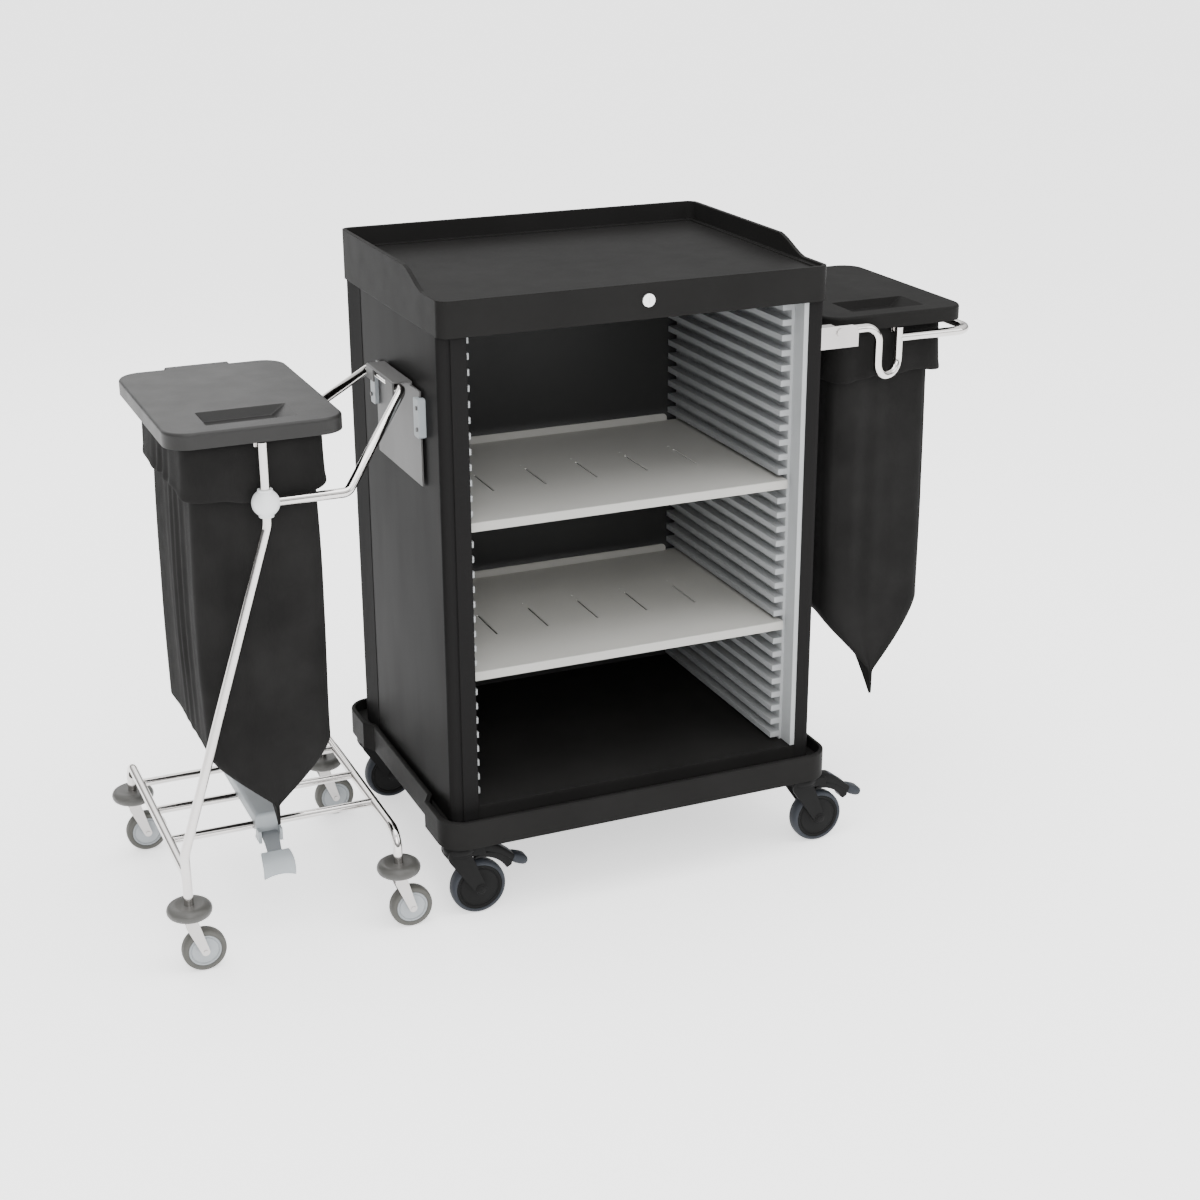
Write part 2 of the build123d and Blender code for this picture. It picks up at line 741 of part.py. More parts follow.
def hitch_clamp(s):
    """Plastic block screwed to the wall that traps one edge of the plate."""
    x = -side_x + panel_inset
    edge = left_lid_y + s * hitch_half
    body = box(x - 13, x, edge - s * 12, edge + s * 13, hook_z - 73, hook_z - 7)
    body = fillet(body.edges().filter_by(Axis.X), 4.0)
    plate_x = -side_x - 2
    body -= box(plate_x - sheet_t - rest_gap, x + 1, edge - s * 13, edge + s * rest_gap,
                hook_z - 84, hook_z + 6)
    for z in screw_levels():
        body -= rod_x(x - 6, edge + s * 6.5, z, 2.0 + run_gap, 30)
    return body


def screw_levels():
    return (hook_z - 58, hook_z - 22)


def hitch_screws():
    screws = []
    for s in (-1, 1):
        for z in screw_levels():
            x = -side_x + panel_inset - 13
            y = left_lid_y + s * (hitch_half + 6.5)
            screw = rod_x(x - 1.2, y, z, 3.6, 2.2)
            screw += rod_x(x + 6.4, y, z, 2.0, 13)
            screws.append(screw)
    return Compound(children=screws)


# ---- right holder ----

def holder_y(s):
    return right_lid_y + s * (upright_dy + 22)


def bracket(s):
    """Stainless channel bracket on the right wall with the tube's pivot hole."""
    y_face = holder_y(s) + s * tube_r + s * 0.3
    x0 = side_x
    top = holder_pivot_z + tube_r + rest_gap + sheet_t
    bottom = holder_pivot_z - 28
    plate = box(x0, x0 + 87, y_face, y_face + s * sheet_t, bottom, top)
    outer = plate.edges().filter_by(Axis.Y).group_by(Axis.X)[-1]
    plate = fillet(outer.sort_by(Axis.Z)[-1], 14.0)
    body = plate
    body += box(x0, x0 + sheet_t, y_face, y_face - s * 24, bottom, top)
    body += box(x0, x0 + 41, y_face, y_face - s * (2 * tube_r + 1), top - sheet_t, top)
    body -= rod_y(holder_pivot_x, y_face, holder_pivot_z, 4 + run_gap, 20)
    return body


def rivets():
    pins = []
    for s in (-1, 1):
        y_out = holder_y(s) + s * (tube_r + 0.3 + sheet_t)
        pin = rod_y(holder_pivot_x, y_out - s * (tube_r + 1), holder_pivot_z, 4, 2 * tube_r + 4)
        pin += rod_y(holder_pivot_x, y_out + s * 1.2, holder_pivot_z, 7, 2.4)
        pins.append(pin)
    return Compound(children=pins)


def holder_tube(s):
    """Tube from the bracket pivot, down round a U and up to the bag ring."""
    y0 = holder_y(s)
    y1 = right_lid_y + s * upright_dy
    z_low = holder_pivot_z - 92
    top = right_lid_top - ring_drop + ring_r
    leg_x = holder_leg_x if s < 0 else holder_leg_x - rear_leg_in
    pts = [
        (side_x + 12, y0, holder_pivot_z), (leg_x, y0, holder_pivot_z), (leg_x, y0, z_low),
        (holder_x, y1, z_low), (holder_x, y1, top)]
    body = bent_tube(pts, 27)
    plug = rod_x(holder_pivot_x, y0, holder_pivot_z, tube_r - tube_wall + 0.2, 26)
    body += plug
    body -= rod_y(holder_pivot_x, y0, holder_pivot_z, 4 + run_gap, 40)
    return body


def guard_loop():
    """Bumper loop outside the bag, from one holder tube round to the other."""
    z = right_lid_top - loop_drop
    y0 = right_lid_y - upright_dy
    y1 = right_lid_y + upright_dy
    pts = [(holder_x, y0, z), (loop_x, y0, z), (loop_x, y1, z), (holder_x, y1, z)]
    body = bent_tube(pts, 34)
    for y in (y0, y1):
        body -= rod_z(holder_x, y, z, tube_r, 60)
    return body


# ---- assembly ----

def build_nodes():
    nodes = {}
    nodes["base_tray"] = base_tray()
    for side, name in ((-1, "left"), (1, "right")):
        nodes["post_front_" + name] = post(side, True)
        nodes["post_rear_" + name] = post(side, False)
        nodes["side_panel_" + name] = side_panel(side)
        nodes["liner_" + name] = liner(side)
    nodes["back_panel"] = back_panel()
    nodes["jamb_strip"] = jamb()
    nodes["top_tray"] = top_tray()
    nodes["lock_barrel"] = lock_barrel()
    nodes["shelf_upper"] = shelf(upper_slot)
    nodes["shelf_lower"] = shelf(lower_slot)
    corners = {"fl": (-1, -1), "fr": (1, -1), "rl": (-1, 1), "rr": (1, 1)}
    for key, (sx, sy) in corners.items():
        cx = sx * caster_x
        cy = sy * caster_y
        nodes["caster_fork_" + key] = caster_fork(cx, cy, sy < 0)
        nodes["caster_wheel_" + key] = wheel(
            cx, cy, wheel_d, wheel_w, axle_r + run_gap, caster_trail)
        if sy < 0:
            nodes["brake_lever_" + key] = brake_lever(cx, cy)
        tx = corner_x(sx)
        ty = corner_y(sy)
        nodes["trolley_fork_" + key] = trolley_fork(tx, ty)
        nodes["trolley_wheel_" + key] = wheel(
            tx, ty, trolley_wheel_d, trolley_wheel_w, axle_r - 1 + run_gap, trolley_trail)
    nodes["hitch_plate"] = hitch_plate()
    nodes["hitch_clamp_front"] = hitch_clamp(-1)
    nodes["hitch_clamp_rear"] = hitch_clamp(1)
    nodes["hitch_screws"] = hitch_screws()
    nodes["trolley_upright_front"] = upright(True)
    nodes["trolley_upright_rear"] = upright(False)
    nodes["trolley_rail_left"] = rail(-1)
    nodes["trolley_rail_right"] = rail(1)
    nodes["trolley_cross_bars"] = cross_bars()
    nodes["trolley_ball_front"] = ball(True)
    nodes["trolley_ball_rear"] = ball(False)
    nodes["trolley_bumpers"] = bumpers()
    nodes["coupler_tube"] = coupler()
    nodes["pedal_housing"] = pedal_housing()
    nodes["pedal"] = pedal()
    left = Pos(left_lid_x, left_lid_y, lid_top)
    right = Pos(right_lid_x, right_lid_y, right_lid_top)
    nodes["left_lid"] = left * lid()
    nodes["left_ring"] = left * ring()
    nodes["left_bag"] = left * bag(left_bag_h, left_bag_foot)
    nodes["right_lid"] = right * lid()
    nodes["right_ring"] = right * ring()
    nodes["right_bag"] = right * bag(right_bag_h, right_bag_foot)
    nodes["holder_bracket_front"] = bracket(-1)
    nodes["holder_bracket_rear"] = bracket(1)
    nodes["holder_rivets"] = rivets()
    nodes["holder_tube_front"] = holder_tube(-1)
    nodes["holder_tube_rear"] = holder_tube(1)
    nodes["guard_loop"] = guard_loop()
    return nodes


def overall_centre(nodes):
    """Middle of the whole cart in X and Y, used as the origin."""
    boxes = [node.bounding_box() for node in nodes.values()]
    low_x = min(b.min.X for b in boxes)
    high_x = max(b.max.X for b in boxes)
    low_y = min(b.min.Y for b in boxes)
    high_y = max(b.max.Y for b in boxes)
    return (low_x + high_x) / 2, (low_y + high_y) / 2


def main():
    os.makedirs("parts", exist_ok=True)
    nodes = build_nodes()
    mid_x, mid_y = overall_centre(nodes)
    for name, node in nodes.items():
        export_step(Pos(-mid_x, -mid_y, 0) * node, "parts/" + name + ".step")


main()
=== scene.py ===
import json
import math

import bpy
import bmesh
from mathutils import Matrix, Vector, noise


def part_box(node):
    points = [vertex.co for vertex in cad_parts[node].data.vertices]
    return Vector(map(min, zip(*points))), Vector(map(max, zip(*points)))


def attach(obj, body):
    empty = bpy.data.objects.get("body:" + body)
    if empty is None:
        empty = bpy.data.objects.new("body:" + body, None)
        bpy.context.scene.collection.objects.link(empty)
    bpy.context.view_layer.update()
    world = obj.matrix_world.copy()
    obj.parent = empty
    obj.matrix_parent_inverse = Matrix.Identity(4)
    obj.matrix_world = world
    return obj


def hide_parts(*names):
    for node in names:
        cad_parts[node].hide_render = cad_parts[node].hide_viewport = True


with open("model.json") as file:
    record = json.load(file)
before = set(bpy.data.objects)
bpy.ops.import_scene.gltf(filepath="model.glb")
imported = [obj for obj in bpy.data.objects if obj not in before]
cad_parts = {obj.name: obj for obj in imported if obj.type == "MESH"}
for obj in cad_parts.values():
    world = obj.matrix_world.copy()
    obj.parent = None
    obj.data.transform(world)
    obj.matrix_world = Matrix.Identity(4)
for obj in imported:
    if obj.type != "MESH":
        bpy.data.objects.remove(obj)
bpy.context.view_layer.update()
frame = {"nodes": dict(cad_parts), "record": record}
nodes = frame["nodes"]

# Everything below is in metres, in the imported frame: +X right, front faces -Y, Z up.
# Outlines written as (radius, place) or stations are in millimetres, and MM brings them to metres.

MM = 0.001
ALL_CORNERS = ("fl", "fr", "rl", "rr")
BRAKED_CORNERS = ("fl", "fr")
CASTER_TRAIL = 0.032        # the swivel axis stands this far to the left of the wheel's axle


# ---------------------------------------------------------------- materials

class Mat:
    """Small builder for one procedural material."""

    def __init__(self, name, rough, metallic=0.0, sheen=0.0, spec=0.5, ior=1.5):
        self.m = bpy.data.materials.new(name)
        self.m.use_nodes = True
        self.t = self.m.node_tree
        self.b = self.t.nodes["Principled BSDF"]
        self.b.inputs["Roughness"].default_value = rough
        self.b.inputs["Metallic"].default_value = metallic
        self.b.inputs["IOR"].default_value = ior
        self.b.inputs["Sheen Weight"].default_value = sheen
        self.b.inputs["Specular IOR Level"].default_value = spec
        self.coords = self.t.nodes.new("ShaderNodeTexCoord").outputs["Object"]
        self.last_normal = None        # bumps chain onto the one before

    def node(self, kind, **values):
        n = self.t.nodes.new(kind)
        for key, value in values.items():
            if key in n.inputs:
                n.inputs[key].default_value = value
            else:
                setattr(n, key, value)
        return n

    def link(self, a, b):
        self.t.links.new(a, b)

    def mapped(self, stretch):
        n = self.node("ShaderNodeMapping")
        n.inputs["Scale"].default_value = stretch
        self.link(self.coords, n.inputs["Vector"])
        return n.outputs["Vector"]

    def noise(self, scale, detail=3.0, stretch=None, rough=0.5):
        n = self.node("ShaderNodeTexNoise", Scale=scale, Detail=detail, Roughness=rough)
        self.link(self.mapped(stretch) if stretch else self.coords, n.inputs["Vector"])
        return n.outputs["Fac"]

    def wave(self, scale, direction, stretch=None, distortion=0.0):
        n = self.node("ShaderNodeTexWave", Scale=scale, Distortion=distortion)
        n.bands_direction = direction
        self.link(self.mapped(stretch) if stretch else self.coords, n.inputs["Vector"])
        return n.outputs["Fac"]

    def ramp(self, fac, stops):
        n = self.node("ShaderNodeValToRGB")
        el = n.color_ramp.elements
        while len(el) < len(stops):
            el.new(0.5)
        for e, (pos, color) in zip(el, stops):
            e.position = pos
            e.color = (*color, 1.0)
        self.link(fac, n.inputs["Fac"])
        return n.outputs["Color"]

    def color(self, fac, stops):
        self.link(self.ramp(fac, stops), self.b.inputs["Base Color"])
        return self

    def rough(self, fac, low, high):
        n = self.node("ShaderNodeMapRange")
        n.inputs["To Min"].default_value = low
        n.inputs["To Max"].default_value = high
        self.link(fac, n.inputs["Value"])
        self.link(n.outputs["Result"], self.b.inputs["Roughness"])
        return self

    def round_edges(self, radius):
        n = self.node("ShaderNodeBevel", Radius=radius)
        n.samples = 4
        self.last_normal = n.outputs["Normal"]
        self.link(self.last_normal, self.b.inputs["Normal"])
        return self

    def bump(self, height, strength, distance):
        n = self.node("ShaderNodeBump", Strength=strength, Distance=distance)
        self.link(height, n.inputs["Height"])
        if self.last_normal is not None:
            self.link(self.last_normal, n.inputs["Normal"])
        self.last_normal = n.outputs["Normal"]
        self.link(self.last_normal, self.b.inputs["Normal"])
        return self


def shades(color, spread):
    dark = tuple(c * (1 - spread) for c in color)
    light = tuple(min(1.0, c * (1 + spread)) for c in color)
    return [(0.3, dark), (0.7, light)]


def moulded(name, color, low, high, grain=0.25, spread=0.10, edge=0.0015, ior=1.45):
    """Moulded plastic: fine spark-eroded grain, faint cloudiness, worn gloss."""
    m = Mat(name, (low + high) / 2, ior=ior)
    m.color(m.noise(7.0, 4.0), shades(color, spread))
    m.rough(m.noise(23.0, 5.0), low, high)
    m.round_edges(edge)
    m.bump(m.noise(1400.0, 2.0), grain, 0.00025)
    m.bump(m.noise(9.0, 1.0), 0.05, 0.002)
    return m.m


def painted(name, color, low, high, spread=0.08, edge=0.001, ior=1.45):
    """Powder-coated sheet: slight orange peel and long soft smears."""
    m = Mat(name, (low + high) / 2, ior=ior)
    m.color(m.noise(3.0, 4.0, stretch=(1.0, 1.0, 0.3)), shades(color, spread))
    m.rough(m.noise(14.0, 6.0, stretch=(1.0, 1.0, 0.25)), low, high)
    m.round_edges(edge)
    m.bump(m.noise(520.0, 2.0), 0.10, 0.0004)
    return m.m


def metal(name, color, low, high, brush=None, edge=0.0006):
    """Bare or plated metal, with fine polishing lines along one direction."""
    m = Mat(name, (low + high) / 2, metallic=1.0)
    m.color(m.noise(18.0, 3.0), shades(color, 0.05))
    m.rough(m.noise(60.0, 5.0, stretch=brush or (1, 1, 1)), low, high)
    m.round_edges(edge)
    m.bump(m.noise(900.0, 2.0, stretch=brush or (1, 1, 1)), 0.05 if brush is None else 0.16, 0.0002)
    return m.m


def weave(name, color):
    """Coated woven cloth: crossing threads, slubs, and soft sheen along the folds."""
    m = Mat(name, 0.72, sheen=0.02, ior=1.06)
    m.b.inputs["Sheen Roughness"].default_value = 0.45
    threads = m.noise(260.0, 3.0, stretch=(1.0, 1.0, 0.12))
    m.color(m.noise(9.0, 6.0), shades(color, 0.22))
    m.rough(m.noise(40.0, 4.0), 0.58, 0.80)
    m.bump(m.wave(420.0, "Z"), 0.30, 0.0002)
    m.bump(m.wave(300.0, "DIAGONAL", stretch=(1.0, 1.0, 0.0)), 0.30, 0.0002)
    m.bump(threads, 0.22, 0.0003)
    m.bump(m.noise(34.0, 3.0, stretch=(1.0, 1.0, 0.35)), 0.28, 0.0022)
    return m.m


M = {}


def look(maker, name, color, low, high, **rest):
    """Make one material; low and high are the ends of its roughness."""
    M[name] = maker(name, color, low, high, **rest)


# The black parts differ mostly in how much light they reflect, so each has its own index of refraction.
look(moulded, "moulded_black", (0.0125, 0.0122, 0.0119), 0.36, 0.48, edge=0.002, ior=1.08)
look(painted, "cabinet_black", (0.0095, 0.0092, 0.0090), 0.38, 0.50, ior=1.085)
# The back panel's black paint is about three times lighter than the cabinet's. This is painted light,
# standing in for the front light that falls into the cabinet.
look(painted, "back_black", (0.030, 0.030, 0.030), 0.36, 0.46, ior=1.2)
look(painted, "post_black", (0.0115, 0.0112, 0.0112), 0.36, 0.46, edge=0.002, ior=1.035)
look(moulded, "liner_grey", (0.31, 0.32, 0.325), 0.36, 0.48, grain=0.12, spread=0.04, edge=0.001, ior=1.4)
look(painted, "shelf_grey", (0.37, 0.365, 0.345), 0.42, 0.52, spread=0.04, ior=1.3)
look(metal, "chrome_tube", (0.60, 0.58, 0.565), 0.08, 0.16)
look(metal, "stainless", (0.53, 0.51, 0.50), 0.30, 0.42, brush=(1.0, 8.0, 8.0))
look(painted, "hitch_steel", (0.082, 0.081, 0.080), 0.34, 0.48, ior=1.3)
look(moulded, "blue_grey", (0.30, 0.325, 0.34), 0.38, 0.50, grain=0.15, spread=0.05, ior=1.35)
look(moulded, "arm_grey", (0.13, 0.14, 0.148), 0.40, 0.52, grain=0.15, spread=0.05, ior=1.3)
look(moulded, "hub_pale", (0.30, 0.32, 0.335), 0.34, 0.46, grain=0.12, spread=0.04, ior=1.35)
look(moulded, "ball_white", (0.66, 0.675, 0.685), 0.30, 0.40, grain=0.10, spread=0.03)
look(moulded, "bumper_grey", (0.058, 0.057, 0.053), 0.34, 0.46, grain=0.35, ior=1.42)
look(moulded, "tread_dark", (0.030, 0.033, 0.039), 0.46, 0.60, grain=0.3, ior=1.2)
look(moulded, "tread_grey", (0.085, 0.084, 0.077), 0.50, 0.66, grain=0.3, ior=1.25)
look(moulded, "caster_black", (0.0115, 0.0115, 0.0115), 0.32, 0.44, ior=1.10)
look(moulded, "lid_grey", (0.0130, 0.0126, 0.0122), 0.40, 0.52, grain=0.35, edge=0.002, ior=1.34)
look(moulded, "lid_black", (0.0120, 0.0117, 0.0114), 0.40, 0.52, grain=0.35, edge=0.002, ior=1.075)
M["bag_black"] = weave("bag_black", (0.0130, 0.0127, 0.0125))
look(metal, "lock_silver", (0.92, 0.92, 0.92), 0.30, 0.42)


def look_of(sub):
    """The record's slot names the look, except where one slot covers pieces that look different."""
    node = sub["node"]
    if node.startswith(("post_", "jamb")):
        return "post_black"
    if node.startswith("trolley_ball"):
        return "ball_white"
    # The back panel takes the lightened black, which is painted light rather than a different paint.
    if node == "back_panel":
        return "back_black"
    return sub["material_slot"]


for sub in frame["record"]["subparts"]:
    materials = nodes[sub["node"]].data.materials
    materials.clear()
    materials.append(M[look_of(sub)])


# ---------------------------------------------------------------- mesh helpers

def add_mesh(name, verts, faces, body, slot, material=None):
    """Smooth-shaded mesh that rides a body; slot is the record's, material its look if not the slot's."""
    mesh = bpy.data.meshes.new(name)
    mesh.from_pydata([tuple(v) for v in verts], [], faces)
    mesh.validate()
    mesh.materials.append(M[material or slot])
    obj = bpy.data.objects.new(name, mesh)
    bpy.context.scene.collection.objects.link(obj)
    bm = bmesh.new()
    bm.from_mesh(mesh)
    bmesh.ops.remove_doubles(bm, verts=bm.verts, dist=1e-6)
    bmesh.ops.recalc_face_normals(bm, faces=bm.faces)
    bm.to_mesh(mesh)
    bm.free()
    mesh.shade_smooth()
    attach(obj, body)
    return obj


def modify(obj, kind, **values):
    mod = obj.modifiers.new(kind.lower(), kind)
    for key, value in values.items():
        setattr(mod, key, value)
    return mod


def lathe(name, centre, profile, body, slot, segments=72, material=None, upright=False):
    """Turned piece about Y, or about Z if upright; profile is (radius, place along the axis)."""
    verts = []
    for k in range(segments):
        a = 2 * math.pi * k / segments
        for r, h in profile:
            across, up = r * math.cos(a), r * math.sin(a)
            verts.append(Vector(centre) + Vector((across, up, h) if upright else (across, h, up)))
    n = len(profile)
    faces = []
    for k in range(segments):
        k2 = (k + 1) % segments
        for i in range(n - 1):
            faces.append((k * n + i, k * n + i + 1, k2 * n + i + 1, k2 * n + i))
    obj = add_mesh(name, verts, faces, body, slot, material=material)
    obj.data.set_sharp_from_angle(angle=math.radians(38))
    return obj


def to_metres(outline):
    return [(r * MM, h * MM) for r, h in outline]


def both_sides(half):
    """A profile given from the rim of one face to the middle, mirrored to the other face."""
    return half + [(r, -y) for r, y in reversed(half)]


def skin(rows, closed=True):
    """Points and quads of a skin through equal-length rows, closed round each row or open."""
    n = len(rows[0])
    faces = []
    for j in range(len(rows) - 1):
        for i in range(n if closed else n - 1):
            i2 = (i + 1) % n
            faces.append((j * n + i, j * n + i2, (j + 1) * n + i2, (j + 1) * n + i))
    return [p for row in rows for p in row], faces


def grid_shell(name, rows, body, slot, closed=True):
    """Open-ended sheet through rows of points."""
    verts, faces = skin(rows, closed)
    return add_mesh(name, verts, faces, body, slot)


def capped(name, rows, body, slot, material=None, angle=34):
    """Closed skin through rings of points, with its two end rings filled."""
    n = len(rows[0])
    verts, faces = skin(rows)
    faces.append(tuple(range(n - 1, -1, -1)))
    faces.append(tuple((len(rows) - 1) * n + i for i in range(n)))
    obj = add_mesh(name, verts, faces, body, slot, material=material)
    obj.data.set_sharp_from_angle(angle=math.radians(angle))
    return obj


def pill(half_w, half_t, soft, steps=5):
    """Rounded rectangle section: points (across, through)."""
    out = []
    for sx, sy, start in ((1, 1, 0.0), (-1, 1, 90.0), (-1, -1, 180.0), (1, -1, 270.0)):
        for k in range(steps + 1):
            a = math.radians(start + 90.0 * k / steps)
            out.append((sx * (half_w - soft) + soft * math.cos(a),
                        sy * (half_t - soft) + soft * math.sin(a)))
    return out


def arm_skin(name, stations, place, along, body, slot, material=None, soft=0.35):
    """Rounded bar through stations (along, height, thickness, half width), in millimetres.

    `along` is the level direction the bar runs in; its width lies across that direction.
    """
    across = Vector((-along.y, along.x, 0.0))
    up = Vector((0.0, 0.0, 1.0))
    rows = []
    for k, (a, h, t, hw) in enumerate(stations):
        a0, h0 = stations[max(0, k - 1)][:2]
        a1, h1 = stations[min(len(stations) - 1, k + 1)][:2]
        run = Vector((a1 - a0, h1 - h0)).normalized()
        through = run.x * up - run.y * along
        centre = Vector(place) + MM * (a * along + h * up)
        ring = pill(hw, t / 2, min(hw, t / 2) * soft * 2)
        rows.append([centre + MM * (p * across + q * through) for p, q in ring])
    return capped(name, rows, body, slot, material)


# ---------------------------------------------------------------- casters

def wheel_parts(tag, node, body, tread, hub, r, width, rim_share, hub_look=None):
    """Tyre and hub of one wheel of radius r; the rim takes rim_share of the radius."""
    lo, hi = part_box(node)
    centre = (lo + hi) / 2
    half = width / 2
    rim = r * rim_share
    tyre = [(rim, half * 0.55), (rim, half * 0.86), (rim + 0.0016, half * 0.95),
            (r * 0.90, half * 0.97), (r * 0.955, half * 0.86), (r * 0.988, half * 0.58),
            (r, half * 0.28), (r, 0.0)]
    t = lathe("tread_" + tag, centre, both_sides(tyre), body, tread)
    face = [(0.0062, half * 0.90), (rim * 0.30, half * 0.90), (rim * 0.36, half * 0.84),
            (rim * 0.80, half * 0.80), (rim * 0.835, half * 0.70), (rim * 0.87, half * 0.70),
            (rim * 0.90, half * 0.82), (rim * 0.97, half * 0.86), (rim - 0.0002, half * 0.82),
            (rim - 0.0002, half * 0.3)]
    lathe("hub_" + tag, centre, both_sides(face), body, hub, material=hub_look)
    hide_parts(node)


for key in ALL_CORNERS:
    wheel_parts("cabinet_" + key, "caster_wheel_" + key, "cabinet_wheel_" + key,
                "tread_dark", "caster_black", 0.050, 0.028, 0.84)
    wheel_parts("trolley_" + key, "trolley_wheel_" + key, "trolley_roller_" + key,
                "tread_grey", "blue_grey", 0.0375, 0.024, 0.74, hub_look="hub_pale")


def swivel_collar(key):
    """Stepped collar of the swivel head, under the base's socket."""
    lo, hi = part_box("caster_wheel_" + key)
    centre = ((lo.x + hi.x) / 2 - CASTER_TRAIL, (lo.y + hi.y) / 2, 0.0)
    turn = [(6.2, 144.4), (24, 144.4), (26.6, 143.6), (27.6, 141.6), (27.6, 138), (26.8, 137.2),
            (26.8, 136), (28.4, 135.2), (29, 133), (29, 128), (28.2, 126.4)]
    lathe("swivel_collar_" + key, centre, to_metres(turn),
          "caster_" + key, "caster_black", upright=True)


def axle_boss(key):
    """Turned boss with a dimpled nut on the outside of each fork arm."""
    lo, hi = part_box("caster_wheel_" + key)
    centre = (lo + hi) / 2
    for sign, tag in ((-1, "front"), (1, "rear")):
        turn = [(0.1, 24.6), (2.2, 24.8), (3.0, 24.0), (5.8, 24.0),
                (6.6, 23.4), (6.8, 22.2), (9.2, 21.8), (9.6, 20.6)]
        lathe("axle_boss_" + key + "_" + tag, centre, [(r, sign * y) for r, y in to_metres(turn)],
              "caster_" + key, "caster_black", segments=40)


def shoe_rows(axle):
    """Rings of the brake shoe, which curves over the wheel at a constant clearance."""
    inside, half_width = 58.4, 14.6
    outside = [(29.5, 70.0), (32, 73.0), (36, 74.0), (42, 73.6), (48, 72.8), (56, 72.4),
               (64, 71.4), (74, 70.0), (82, 68.0), (90, 65.0), (98, 61.5)]      # (degrees, radius)
    rows = []
    for angle, outer in outside:
        c, s = math.cos(math.radians(angle)), math.sin(math.radians(angle))
        mid, half = (inside + outer) / 2, (outer - inside) / 2
        rows.append([Vector((axle.x + MM * (mid + r) * c, axle.y + MM * p, axle.z + MM * (mid + r) * s))
                     for p, r in pill(half_width, half, half * 0.5)])
    return rows


def brake_pieces(key):
    """Foot lever with its raised insert and soft tip, and the shoe over the wheel."""
    lo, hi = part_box("caster_wheel_" + key)
    axle = (lo + hi) / 2
    pivot = Vector((axle.x - CASTER_TRAIL, axle.y, 0.0))
    along = Vector((1.0, 0.0, 0.0))
    body = "brake_" + key
    arm = [(30.5, 126, 14, 12.0), (39, 126.6, 18, 13.5), (50, 124, 20, 14), (61, 118.5, 20, 14),
           (71, 111.5, 19, 14), (81, 104, 17.5, 13.8), (90, 97.5, 15.5, 13.4), (98, 92, 13, 13)]
    lever = arm_skin("brake_arm_" + key, arm, pivot, along, body, "caster_black")
    insert = [(54, 133.0, 1.6, 8.5), (60, 129.6, 2.6, 9), (68, 124.2, 2.8, 9), (77, 117.0, 2.8, 9),
              (86, 110.0, 2.6, 9), (93, 104.6, 1.4, 8.5)]
    arm_skin("brake_insert_" + key, insert, pivot, along, body, "caster_black",
             material="tread_dark")
    tip = [(95, 95, 12, 12), (98, 93.2, 16, 14.4), (104, 90.0, 18, 15), (111, 87.0, 18.5, 15),
           (117, 84.6, 17, 15), (121, 83.0, 13, 13.6), (123, 82.4, 7, 11)]
    arm_skin("brake_tip_" + key, tip, pivot, along, body, "caster_black",
             material="tread_dark", soft=0.45)
    capped("brake_shoe_" + key, shoe_rows(axle), body, "caster_black")
    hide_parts("brake_lever_" + key)


for key in ALL_CORNERS:
    swivel_collar(key)
    axle_boss(key)
for key in BRAKED_CORNERS:
    brake_pieces(key)


# ---------------------------------------------------------------- trolley trim

def bumper_discs():
    """Soft discs with a domed top and an undercut edge, one at each corner."""
    lo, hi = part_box("trolley_bumpers")
    radius = 0.038
    turn = [(8.2, 124.6), (16, 124.8), (22, 125.8), (28, 126), (32, 124.8), (35.4, 122.2),
            (37.4, 118.6), (38, 115), (37.4, 111.4), (35.4, 107.8), (32, 105.2), (28, 104),
            (14, 104.2), (8.2, 104.4)]
    for ix, x in enumerate((lo.x + radius, hi.x - radius)):
        for iy, y in enumerate((lo.y + radius, hi.y - radius)):
            disc = lathe("bumper_disc_%d%d" % (ix, iy), (x, y, 0.0), to_metres(turn),
                         "trolley", "bumper_grey", upright=True)
            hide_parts("trolley_bumpers")


def pedal_pieces():
    """Narrow arm down from the pin, and a broad scooped pad with an arched lower lip."""
    lo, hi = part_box("pedal")
    pin_inset = 0.006
    pin = Vector(((lo.x + hi.x) / 2, hi.y - pin_inset, hi.z - pin_inset))
    along = Vector((0.0, -1.0, 0.0))
    arm = [(-4.5, 0.5, 8, 14), (0, 1, 9.5, 15), (6, -0.5, 9.5, 15), (14, -8, 9, 13.5),
           (24, -18, 8.5, 12.5), (33, -25.0, 7, 13), (42, -28.5, 5, 15)]
    arm_skin("pedal_arm", arm, pin, along, "pedal", "blue_grey", material="arm_grey")
    path = [(-29, -19), (-38, -21), (-47, -24), (-54, -29.5), (-58, -37.5), (-58.5, -46.5),
            (-56.5, -55)]
    across = 14
    rows = []
    for k, (py, pz) in enumerate(path):
        f = k / (len(path) - 1)
        row = []
        for i in range(across + 1):
            u = 2 * i / across - 1
            half = 25.0 + 3.0 * min(1.0, 2.4 * f)
            scoop = 3.2 * (1 - u * u) * math.sin(math.pi * min(1.0, f * 1.1))
            arch = 6.0 * (1 - u * u) * f ** 3
            row.append(pin + MM * Vector((half * u, py + scoop, pz - scoop * 0.6 + arch)))
        rows.append(row)
    pad = grid_shell("pedal_pad", rows, "pedal", "blue_grey", closed=False)
    modify(pad, "SOLIDIFY", thickness=0.0052, offset=0.0)
    modify(pad, "BEVEL", width=0.0018, segments=3, limit_method="ANGLE",
           angle_limit=math.radians(50))
    modify(pad, "SUBSURF", levels=0, render_levels=1)
    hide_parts("pedal")


bumper_discs()
pedal_pieces()


# ---------------------------------------------------------------- bags

BAG_HALF_X, BAG_HALF_Y, BAG_CORNER = 0.100, 0.166, 0.030
CUFF_HALF_X, CUFF_HALF_Y, CUFF_CORNER = 0.106, 0.172, 0.026
BAG_POINTS = 220                # points round each row of the cloth
BAG_TO_SHOULDER = 0.528         # from the bag's top down to where it starts to narrow
LID_TO_HEM = 0.121              # from the lid's top down to the cuff's hem


